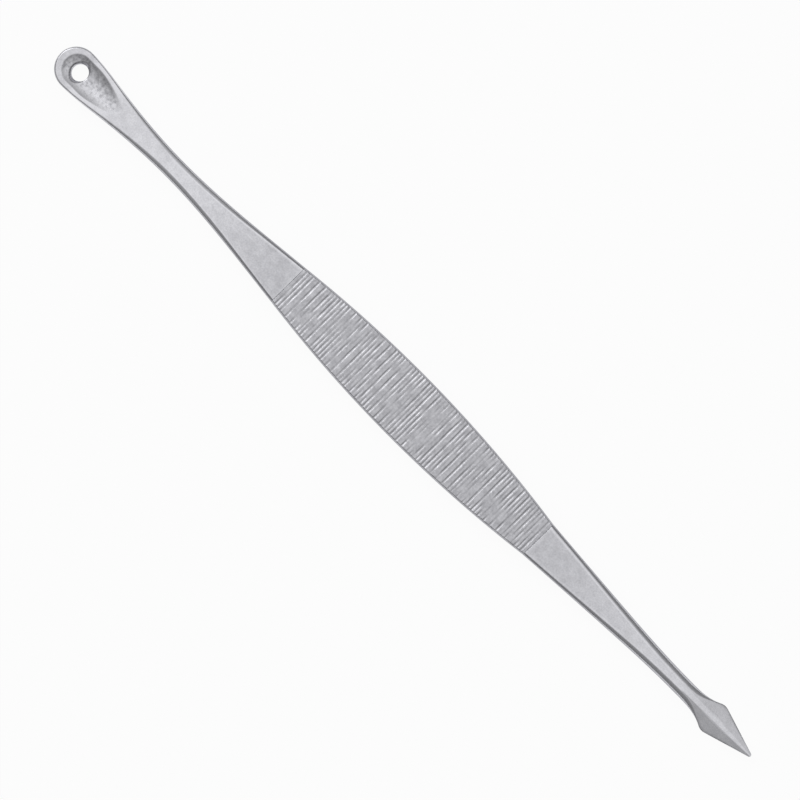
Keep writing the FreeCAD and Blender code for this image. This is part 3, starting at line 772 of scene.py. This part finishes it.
def noise_texture(material, size, detail):
    """Noise that changes over about a size in millimetres, and is fixed to the piece."""
    nodes = material.node_tree.nodes
    place = nodes.new("ShaderNodeTexCoord")
    texture = nodes.new("ShaderNodeTexNoise")
    texture.inputs["Scale"].default_value = 1 / (size * MM)
    texture.inputs["Detail"].default_value = detail
    material.node_tree.links.new(place.outputs["Object"], texture.inputs["Vector"])
    return texture.outputs["Fac"]


def weighted_sum(material, value, weight, rest):
    """A value times its weight, plus the rest."""
    total = material.node_tree.nodes.new("ShaderNodeMath")
    total.operation = "MULTIPLY_ADD"
    total.inputs[1].default_value = weight
    material.node_tree.links.new(value, total.inputs[0])
    material.node_tree.links.new(rest, total.inputs[2])
    return total.outputs["Value"]


def mapped(material, value, from_range, to_range):
    """A value carried from one range to another, and held inside it."""
    spread = material.node_tree.nodes.new("ShaderNodeMapRange")
    for name, number in zip(("From Min", "From Max", "To Min", "To Max"), from_range + to_range):
        spread.inputs[name].default_value = number
    material.node_tree.links.new(value, spread.inputs["Value"])
    return spread.outputs["Result"]


def satin_steel(name, grain_weight, blotch_weight):
    """Steel whose tone and smoothness follow the mesh's burnish and painted highlights, with fine grain and
    soft blotches.
    """
    material = bpy.data.materials.new(name)
    material.use_nodes = True
    nodes = material.node_tree.nodes
    links = material.node_tree.links
    shader = nodes["Principled BSDF"]
    shader.inputs["Metallic"].default_value = 1.0
    shader.inputs["Specular Tint"].default_value = EDGE_TINT
    finish_and_highlight = nodes.new("ShaderNodeAttribute")
    finish_and_highlight.attribute_name = "finish_and_highlight"
    offset = (grain_weight + blotch_weight) / 2
    grain = noise_texture(material, GRAIN_SIZE, detail=3)
    blotches = noise_texture(material, BLOTCH_SIZE, detail=2)
    total = weighted_sum(material, grain, grain_weight, finish_and_highlight.outputs["Fac"])
    total = weighted_sum(material, blotches, blotch_weight, total)
    total = mapped(material, total, (offset, 1 + offset), (0.0, 1.0))
    tone = nodes.new("ShaderNodeValToRGB")
    tone.color_ramp.elements[0].color = DULL_TONE
    tone.color_ramp.elements[1].color = BURNISHED_TONE
    links.new(total, tone.inputs["Fac"])
    links.new(tone.outputs["Color"], shader.inputs["Base Color"])
    links.new(mapped(material, total, (0.0, 1.0), ROUGHNESS), shader.inputs["Roughness"])
    bump = nodes.new("ShaderNodeBump")
    bump.inputs["Strength"].default_value = 1.0
    bump.inputs["Distance"].default_value = BUMP_HEIGHT * MM
    links.new(noise_texture(material, BUMP_SIZE, detail=2), bump.inputs["Height"])
    links.new(bump.outputs["Normal"], shader.inputs["Normal"])
    return material


def dress(piece, node, material):
    piece.data.materials.append(material)
    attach(piece, "root")
    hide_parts(node)


def larger(material, first, second):
    total = material.node_tree.nodes.new("ShaderNodeMath")
    total.operation = "MAXIMUM"
    material.node_tree.links.new(first, total.inputs[0])
    material.node_tree.links.new(second, total.inputs[1])
    return total.outputs["Value"]


def white_paper():
    """Paper that takes shadows, and looks nearly white to the camera and in reflections."""
    material = bpy.data.materials.new("white_table")
    material.use_nodes = True
    nodes = material.node_tree.nodes
    links = material.node_tree.links
    nodes.clear()
    paper = nodes.new("ShaderNodeBsdfDiffuse")
    paper.inputs["Color"].default_value = TABLE_TONE
    glow = nodes.new("ShaderNodeEmission")
    glow.inputs["Strength"].default_value = 1.0
    path = nodes.new("ShaderNodeLightPath")
    seen = larger(material, path.outputs["Is Camera Ray"], path.outputs["Is Glossy Ray"])
    seen = larger(material, seen, path.outputs["Is Transmission Ray"])
    mix = nodes.new("ShaderNodeMixShader")
    links.new(mapped(material, seen, (0.0, 1.0), (0.0, TABLE_GLOW)), mix.inputs["Fac"])
    links.new(paper.outputs["BSDF"], mix.inputs[1])
    links.new(glow.outputs["Emission"], mix.inputs[2])
    output = nodes.new("ShaderNodeOutputMaterial")
    links.new(mix.outputs["Shader"], output.inputs["Surface"])
    return material


def white_table():
    bpy.ops.mesh.primitive_circle_add(vertices=TABLE_SIDES, radius=TABLE_RADIUS, fill_type="NGON")
    table = bpy.context.object
    table.name = "white_table"
    table.data.materials.append(white_paper())


def towards(turn, tilt):
    """A direction away from the tool. Turn 0 is towards +Y, and tilt is from straight up."""
    return Vector((-math.sin(turn) * math.sin(tilt), math.cos(turn) * math.sin(tilt), math.cos(tilt)))


def sky_ramp(nodes, low, high):
    """A ramp between two levels, each given as (position, level)."""
    ramp = nodes.new("ShaderNodeValToRGB")
    for element, (position, level) in zip(ramp.color_ramp.elements, (low, high)):
        element.position = position
        element.color = (level, level, level, 1)
    return ramp


def studio_sky():
    """A soft overhead light that fades evenly from its brightest place, in a room with dark walls."""
    world = bpy.data.worlds.new("studio")
    bpy.context.scene.world = world
    world.use_nodes = True
    nodes = world.node_tree.nodes
    links = world.node_tree.links
    coordinates = nodes.new("ShaderNodeTexCoord")
    facing = nodes.new("ShaderNodeVectorMath")
    facing.operation = "DOT_PRODUCT"
    facing.inputs[1].default_value = towards(SKY_TURN, SKY_TILT)
    upward = nodes.new("ShaderNodeSeparateXYZ")
    overhead = sky_ramp(nodes, OVERHEAD_EDGE, (1.0, 1.0))
    walls = sky_ramp(nodes, (WALL_RISE[0], HORIZON_SHARE), (WALL_RISE[1], 1.0))
    both = nodes.new("ShaderNodeVectorMath")
    both.operation = "MULTIPLY"
    links.new(coordinates.outputs["Generated"], facing.inputs[0])
    links.new(coordinates.outputs["Generated"], upward.inputs["Vector"])
    links.new(facing.outputs["Value"], overhead.inputs["Fac"])
    links.new(upward.outputs["Z"], walls.inputs["Fac"])
    links.new(overhead.outputs["Color"], both.inputs[0])
    links.new(walls.outputs["Color"], both.inputs[1])
    links.new(both.outputs["Vector"], nodes["Background"].inputs["Color"])


def soft_box():
    """A square soft lamp beyond the spoon, which brightens what faces that way."""
    lamp = bpy.data.lights.new("soft_box", "AREA")
    lamp.size = BOX_SIZE
    lamp.energy = BOX_POWER
    holder = bpy.data.objects.new("soft_box", lamp)
    away = towards(BOX_TURN, BOX_TILT)
    holder.location = away
    holder.rotation_euler = away.to_track_quat("Z", "Y").to_euler()
    bpy.context.scene.collection.objects.link(holder)


def photo_camera():
    """Looks straight down, so that the middle of the tool falls on its pixel of the photograph."""
    camera = bpy.data.cameras.new("camera")
    camera.lens = LENS
    camera.sensor_width = SENSOR
    holder = bpy.data.objects.new("camera", camera)
    right = Vector((math.cos(TOOL_TURN), math.sin(TOOL_TURN), 0))
    up = Vector((-math.sin(TOOL_TURN), math.cos(TOOL_TURN), 0))
    aside = (TOOL_MIDDLE_PIXEL[0] - FRAME_PIXELS / 2) * PIXEL
    below = (TOOL_MIDDLE_PIXEL[1] - FRAME_PIXELS / 2) * PIXEL
    distance = FRAME_PIXELS * PIXEL * LENS / SENSOR
    holder.location = (up * below - right * aside + Vector((0, 0, MID_HEIGHT + distance))) * MM
    holder.rotation_euler = (0, 0, TOOL_TURN)
    bpy.context.scene.collection.objects.link(holder)
    bpy.context.scene.camera = holder


grip = mesh_piece("grip_with_ribs", grip_stations(), GRIP_POINTS, rib_height, grip_finish)
spoon = mesh_piece("spoon_with_shank", spoon_stations(), SPOON_POINTS, spoon_height, spoon_finish_and_highlight)
lance = mesh_piece("lance_with_shank", lance_stations(), LANCE_POINTS, lance_height, lance_finish_and_highlight)
dress(grip, "ribbed_grip", satin_steel("ribbed_steel", grain_weight=0.5, blotch_weight=0.35))
dress(spoon, "spoon_end", satin_steel("spoon_steel", grain_weight=0.8, blotch_weight=0.6))
dress(lance, "lance_end", satin_steel("lance_steel", grain_weight=0.7, blotch_weight=0.5))
white_table()
studio_sky()
soft_box()
photo_camera()
bpy.context.scene.view_settings.view_transform = "Standard"
